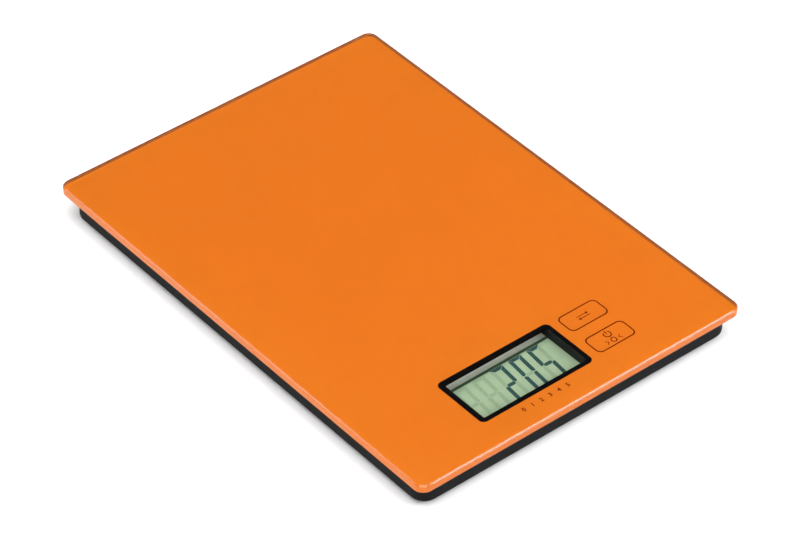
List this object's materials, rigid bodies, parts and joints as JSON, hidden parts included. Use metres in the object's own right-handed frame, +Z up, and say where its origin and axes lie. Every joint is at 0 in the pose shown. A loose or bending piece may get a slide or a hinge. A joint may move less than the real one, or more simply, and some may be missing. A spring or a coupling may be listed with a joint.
{
  "type": "digital kitchen scale",
  "caption": "Slim electronic kitchen scale: a flat glass platter with a display window and two touch keys, on a shallow plastic base with load-cell feet.",
  "frame": {"origin": "under the middle of the platter, on the plane of the foot pads' undersides", "axes": "+X to the right along the display as the user reads it, +Y to the back along the platter's long side, +Z up"},
  "size_m": [0.141, 0.2, 0.0148],
  "materials": {
    "platter_glass": "polished, orange paint fused to its underside",
    "foam_tape": "matt closed-cell foam",
    "base_plastic": "satin moulded texture",
    "cover_plastic": "fine matt texture",
    "bezel_plastic": "satin",
    "lcd_glass": "polished",
    "lcd_film": "satin film",
    "lcd_reflector": "satin film",
    "zebra_rubber": "matt",
    "board": "satin solder mask",
    "chip_epoxy": "satin",
    "contact_metal": "nickel plated",
    "spring_metal": "nickel plated",
    "cell_can": "brushed",
    "load_cell_steel": "ground",
    "gauge_silicone": "satin",
    "flat_lead": "satin",
    "red_lead": "satin",
    "black_lead": "satin",
    "foot_plastic": "satin",
    "pad_rubber": "matt",
    "screw_steel": "zinc plated"
  },
  "bodies": {
    "housing": {"glass_platter": "platter_glass", "platter_adhesive": "foam_tape", "upper_housing": "base_plastic", "bottom_cover": "cover_plastic", "lcd_bezel": "bezel_plastic", "lcd_front_polariser": "lcd_film", "lcd_front_glass": "lcd_glass", "lcd_rear_glass": "lcd_glass", "lcd_reflector": "lcd_reflector", "zebra_strip": "zebra_rubber", "main_pcb": "board", "controller_chip": "chip_epoxy", "touch_spring_unit": "spring_metal", "touch_spring_power": "spring_metal", "battery_holder": "base_plastic", "battery_contact_positive": "contact_metal", "battery_contact_negative": "contact_metal", "battery_lead_positive": "red_lead", "battery_lead_negative": "black_lead", "coin_cell": "cell_can", "load_cell_plate_front_left": "load_cell_steel", "strain_gauge_front_left": "gauge_silicone", "load_cell_lead_front_left": "flat_lead", "foot_front_left": "foot_plastic", "foot_pad_front_left": "pad_rubber", "load_cell_plate_front_right": "load_cell_steel", "strain_gauge_front_right": "gauge_silicone", "load_cell_lead_front_right": "flat_lead", "foot_front_right": "foot_plastic", "foot_pad_front_right": "pad_rubber", "load_cell_plate_back_left": "load_cell_steel", "strain_gauge_back_left": "gauge_silicone", "load_cell_lead_back_left": "flat_lead", "foot_back_left": "foot_plastic", "foot_pad_back_left": "pad_rubber", "load_cell_plate_back_right": "load_cell_steel", "strain_gauge_back_right": "gauge_silicone", "load_cell_lead_back_right": "flat_lead", "foot_back_right": "foot_plastic", "foot_pad_back_right": "pad_rubber", "cover_screw_1": "screw_steel", "cover_screw_2": "screw_steel", "cover_screw_3": "screw_steel", "cover_screw_4": "screw_steel", "cover_screw_5": "screw_steel", "cover_screw_6": "screw_steel", "cover_screw_7": "screw_steel", "cover_screw_8": "screw_steel"},
    "battery_cover": {"battery_cover": "cover_plastic"}
  },
  "joints": [
    {"name": "battery_cover_turn", "type": "hinge", "parent": "housing", "child": "battery_cover", "pos_m": [0, -0.022, 0.0031], "axis": [0, 0, -1], "range_deg": [0, 45]}
  ]
}
